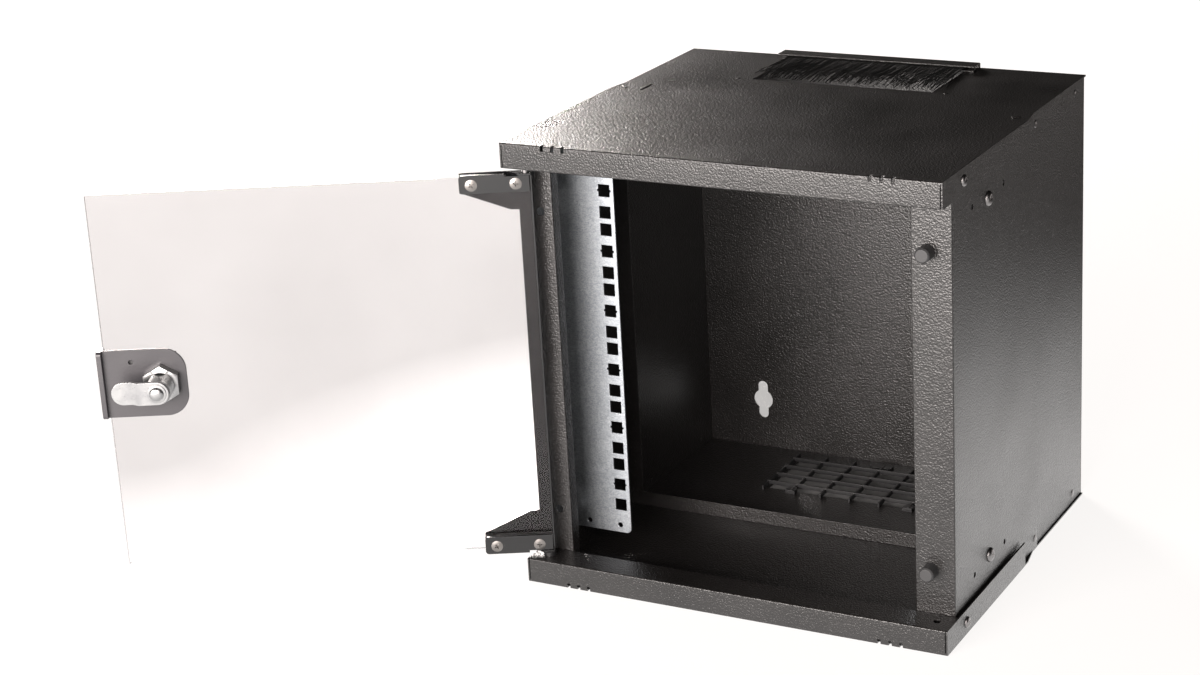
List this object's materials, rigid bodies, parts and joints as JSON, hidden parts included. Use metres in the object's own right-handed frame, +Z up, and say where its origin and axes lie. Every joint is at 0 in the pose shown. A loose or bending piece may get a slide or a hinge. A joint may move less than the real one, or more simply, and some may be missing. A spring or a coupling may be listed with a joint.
{
  "type": "wall mount network cabinet",
  "caption": "Small black sheet-steel wall cabinet for ten-inch rack equipment, with a frameless glass door standing open on pin hinges and a cam lock.",
  "frame": {"origin": "middle of the underside of the bottom cover", "axes": "+X to the right seen from the front, +Y into the cabinet towards the wall, +Z up"},
  "size_m": [0.5863, 0.4373, 0.3306],
  "materials": {
    "black_coat": "fine-textured powder coat, satin",
    "galvanised": "spangled zinc, satin",
    "black_plastic": "moulded, satin",
    "bristle": "nylon bristles",
    "black_rubber": "soft rubber, matte",
    "black_screw": "black oxide",
    "clear_glass": "clear toughened glass",
    "dark_zinc": "dark die-cast zinc",
    "bright_zinc": "bright zinc plate"
  },
  "bodies": {
    "cabinet": {"top_cover": "black_coat", "bottom_cover": "black_coat", "left_side_panel": "black_coat", "right_side_panel": "black_coat", "rear_panel": "black_coat", "rear_left_wall": "black_coat", "rear_right_wall": "black_coat", "rear_floor": "black_coat", "rear_roof": "black_coat", "left_rack_rail": "galvanised", "right_rack_rail": "galvanised", "cable_grid": "black_plastic", "brush_holder": "black_coat", "brush_bristles": "bristle", "door_bumpers": "black_rubber", "cover_screws": "black_screw", "rail_screws": "black_screw", "rear_rivets": "black_screw"},
    "door": {"door_glass": "clear_glass", "hinge_frame": "black_coat", "upper_clamp_plate": "black_coat", "lower_clamp_plate": "black_coat", "clamp_pads": "black_rubber", "clamp_screws": "bright_zinc", "upper_hinge_pin": "black_screw", "lower_hinge_pin": "black_screw", "hinge_spacer": "black_plastic", "lock_bracket": "black_coat", "lock_pads": "black_rubber", "lock_housing": "dark_zinc", "lock_nut": "bright_zinc"},
    "lock_core": {"lock_plug": "dark_zinc", "lock_cam": "bright_zinc", "cam_bolt": "bright_zinc"}
  },
  "joints": [
    {"name": "door_hinge", "type": "hinge", "parent": "cabinet", "child": "door", "pos_m": [-0.148, -0.1335, 0.163], "axis": [0, 0, -1], "range_deg": [-152.4, 47.6]},
    {"name": "lock_turn", "type": "hinge", "parent": "door", "child": "lock_core", "pos_m": [-0.38151, -0.25558, 0.1637], "axis": [0.4633, -0.8862, 0], "range_deg": [0, 90]}
  ]
}
